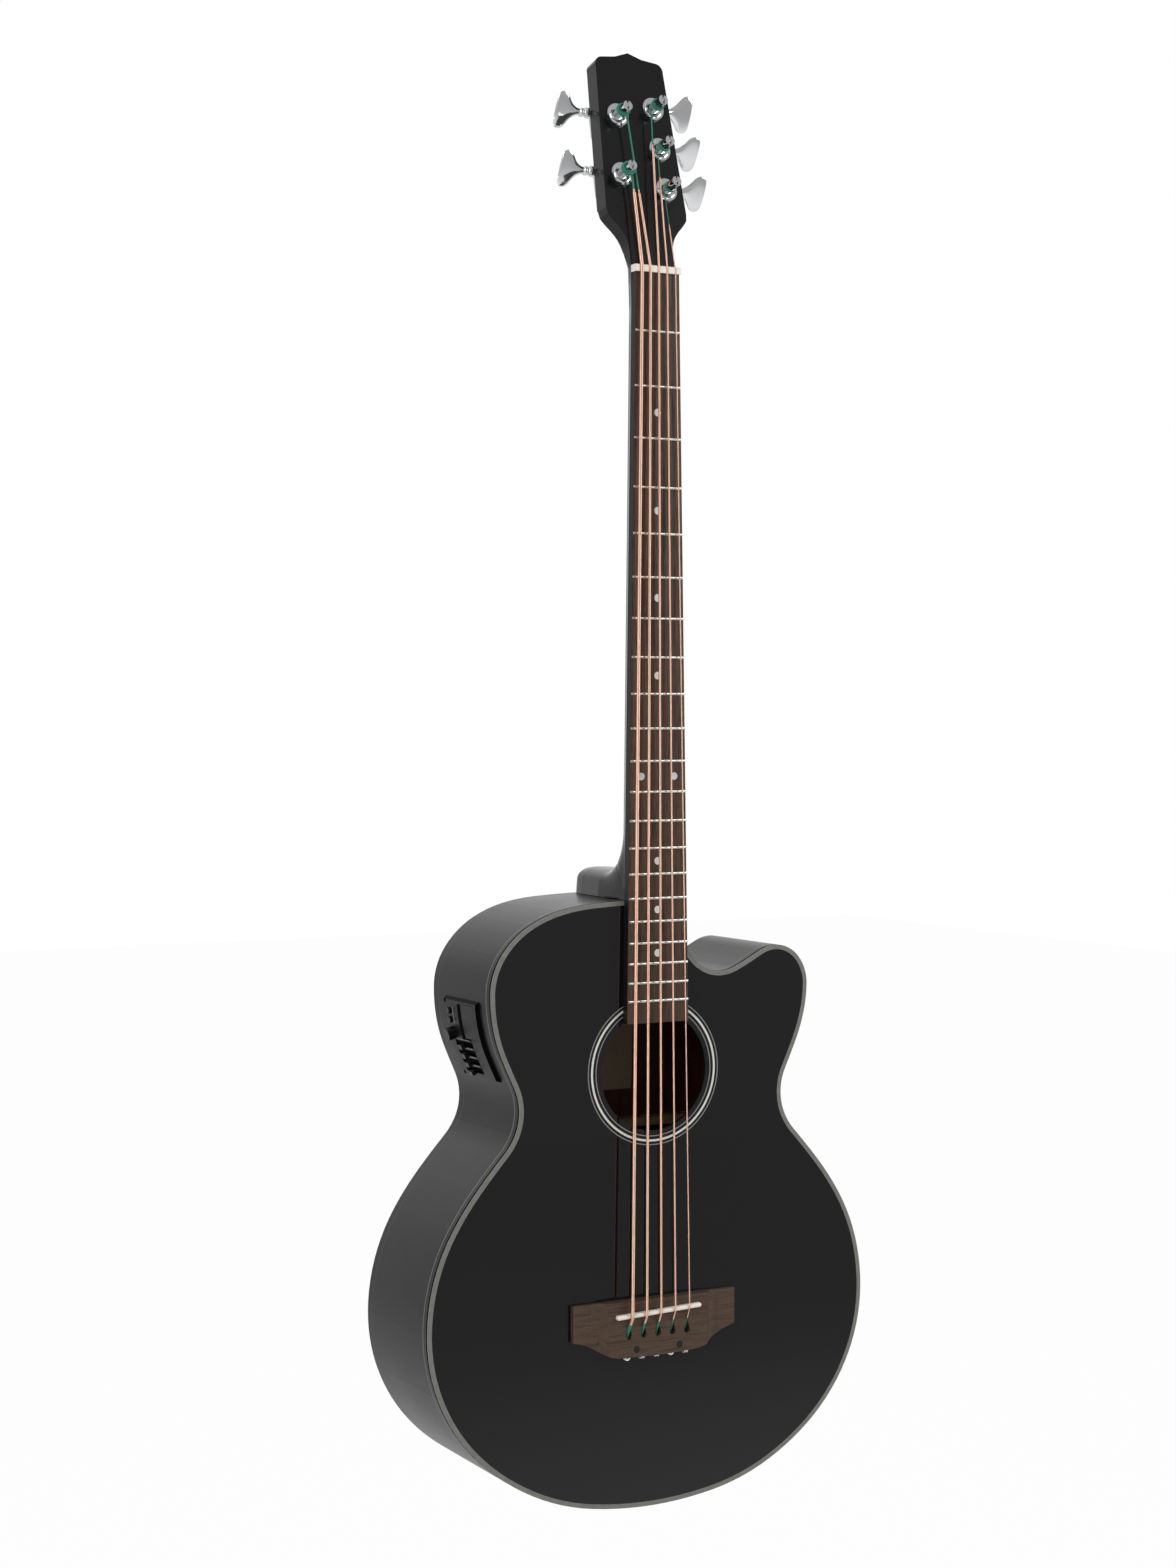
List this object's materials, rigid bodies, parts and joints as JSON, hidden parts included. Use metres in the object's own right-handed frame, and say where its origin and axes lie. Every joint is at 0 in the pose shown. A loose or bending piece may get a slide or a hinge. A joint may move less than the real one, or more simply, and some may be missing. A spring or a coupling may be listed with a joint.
{
  "type": "acoustic bass guitar",
  "caption": "Acoustic bass guitar with a cutaway body, round soundhole, fretted neck, geared tuners and a side preamp with a battery drawer.",
  "frame": {"origin": "seat of the end jack, in the middle of the tail", "axes": "+Z along the neck to the headstock, -Y out of the front of the soundboard, +X to the treble side with the cutaway"},
  "size_m": [0.4194, 0.1498, 1.2401],
  "materials": {
    "black_lacquer": "gloss black lacquer",
    "back_veneer": "dark veneer, satin inside",
    "inner_wood": "bare wood",
    "grey_binding": "grey and black plies",
    "black_binding": "gloss",
    "white_inlay": "polished",
    "rosewood": "open grain, oiled",
    "cream_bone": "polished",
    "fret_metal": "polished",
    "string_bronze": "round wound",
    "chrome": "polished",
    "steel": "machined",
    "black_plastic": "satin",
    "pickup": "strip",
    "battery_shell": "plain",
    "paper": "paper"
  },
  "bodies": {
    "guitar": {"back_braces": "inner_wood", "back_plate": "back_veneer", "bindings": "black_binding", "bridge": "rosewood", "bridge_bolt_caps": "black_plastic", "bridge_bolts": "steel", "bridge_plate": "inner_wood", "end_jack": "chrome", "fingerboard": "rosewood", "frets": "fret_metal", "heel_cap": "black_lacquer", "linings": "inner_wood", "neck": "black_lacquer", "neck_block": "inner_wood", "neck_bolts": "steel", "nut": "cream_bone", "paper_label": "paper", "position_dots": "white_inlay", "preamp_housing": "black_plastic", "preamp_panel": "black_plastic", "preamp_screws": "steel", "purflings": "grey_binding", "rosette": "white_inlay", "saddle": "cream_bone", "saddle_pickup": "pickup", "side_bass": "black_lacquer", "side_treble": "black_lacquer", "soundboard": "black_lacquer", "strap_button": "chrome", "strings": "string_bronze", "tail_block": "inner_wood", "top_braces": "inner_wood", "truss_rod": "steel", "tuner_bushings": "chrome", "tuner_housings": "chrome", "tuner_screws": "chrome"},
    "post_1": {"tuner_post_1": "chrome", "string_winding_1": "string_bronze"},
    "key_1": {"tuner_key_1": "chrome"},
    "post_2": {"tuner_post_2": "chrome", "string_winding_2": "string_bronze"},
    "key_2": {"tuner_key_2": "chrome"},
    "post_3": {"tuner_post_3": "chrome", "string_winding_3": "string_bronze"},
    "key_3": {"tuner_key_3": "chrome"},
    "post_4": {"tuner_post_4": "chrome", "string_winding_4": "string_bronze"},
    "key_4": {"tuner_key_4": "chrome"},
    "post_5": {"tuner_post_5": "chrome", "string_winding_5": "string_bronze"},
    "key_5": {"tuner_key_5": "chrome"},
    "slider_1": {"eq_slider_1": "black_plastic"},
    "slider_2": {"eq_slider_2": "black_plastic"},
    "slider_3": {"eq_slider_3": "black_plastic"},
    "slider_4": {"eq_slider_4": "black_plastic"},
    "volume": {"volume_knob": "black_plastic"},
    "button_1": {"preamp_button_1": "black_plastic"},
    "button_2": {"preamp_button_2": "black_plastic"},
    "drawer": {"battery_drawer": "black_plastic", "battery": "battery_shell"}
  },
  "joints": [
    {"name": "key_1_turn", "type": "hinge", "parent": "guitar", "child": "key_1", "pos_m": [-0.0204, -0.01976, 1.12467], "axis": [-1, 0, 0], "continuous": true},
    {"name": "post_1_turn", "type": "hinge", "parent": "guitar", "child": "post_1", "pos_m": [-0.0204, -0.04369, 1.11898], "axis": [0, -0.9736, 0.2284], "continuous": true},
    {"name": "key_2_turn", "type": "hinge", "parent": "guitar", "child": "key_2", "pos_m": [-0.0179, -0.00761, 1.17646], "axis": [-1, 0, 0], "continuous": true},
    {"name": "post_2_turn", "type": "hinge", "parent": "guitar", "child": "post_2", "pos_m": [-0.0179, -0.03154, 1.17077], "axis": [0, -0.9736, 0.2284], "continuous": true},
    {"name": "key_3_turn", "type": "hinge", "parent": "guitar", "child": "key_3", "pos_m": [0.01746, -0.00548, 1.18552], "axis": [1, 0, 0], "continuous": true},
    {"name": "post_3_turn", "type": "hinge", "parent": "guitar", "child": "post_3", "pos_m": [0.01746, -0.02941, 1.17983], "axis": [0, -0.9736, 0.2284], "continuous": true},
    {"name": "key_4_turn", "type": "hinge", "parent": "guitar", "child": "key_4", "pos_m": [0.01918, -0.0138, 1.15008], "axis": [1, 0, 0], "continuous": true},
    {"name": "post_4_turn", "type": "hinge", "parent": "guitar", "child": "post_4", "pos_m": [0.01918, -0.03773, 1.14439], "axis": [0, -0.9736, 0.2284], "continuous": true},
    {"name": "key_5_turn", "type": "hinge", "parent": "guitar", "child": "key_5", "pos_m": [0.02088, -0.02206, 1.11483], "axis": [1, 0, 0], "continuous": true},
    {"name": "post_5_turn", "type": "hinge", "parent": "guitar", "child": "post_5", "pos_m": [0.02088, -0.04599, 1.10915], "axis": [0, -0.9736, 0.2284], "continuous": true},
    {"name": "slider_1_move", "type": "slide", "parent": "guitar", "child": "slider_1", "axis": [0, 1, 0], "range_m": [-0.012, 0.012]},
    {"name": "slider_2_move", "type": "slide", "parent": "guitar", "child": "slider_2", "axis": [0, 1, 0], "range_m": [-0.012, 0.012]},
    {"name": "slider_3_move", "type": "slide", "parent": "guitar", "child": "slider_3", "axis": [0, 1, 0], "range_m": [-0.012, 0.012]},
    {"name": "slider_4_move", "type": "slide", "parent": "guitar", "child": "slider_4", "axis": [0, 1, 0], "range_m": [-0.012, 0.012]},
    {"name": "volume_turn", "type": "hinge", "parent": "guitar", "child": "volume", "pos_m": [-0.14773, 0.012, 0.4022], "axis": [-0.9638, 0, -0.2665], "range_deg": [-140, 140]},
    {"name": "button_1_press", "type": "slide", "parent": "guitar", "child": "button_1", "axis": [0.992, 0, 0.1266], "range_m": [0, 0.0012], "stiffness_N_per_m": 200, "springref_m": -0.0005},
    {"name": "button_2_press", "type": "slide", "parent": "guitar", "child": "button_2", "axis": [0.9836, 0, 0.1805], "range_m": [0, 0.0012], "stiffness_N_per_m": 200, "springref_m": -0.0005},
    {"name": "battery_drawer_pull", "type": "slide", "parent": "guitar", "child": "drawer", "axis": [-1, 0, 0], "range_m": [0, 0.05]}
  ],
  "couplings": [
    {"joint": "post_1_turn", "follows": "key_1_turn", "ratio": 0.05},
    {"joint": "post_2_turn", "follows": "key_2_turn", "ratio": 0.05},
    {"joint": "post_3_turn", "follows": "key_3_turn", "ratio": -0.05},
    {"joint": "post_4_turn", "follows": "key_4_turn", "ratio": -0.05},
    {"joint": "post_5_turn", "follows": "key_5_turn", "ratio": -0.05}
  ]
}
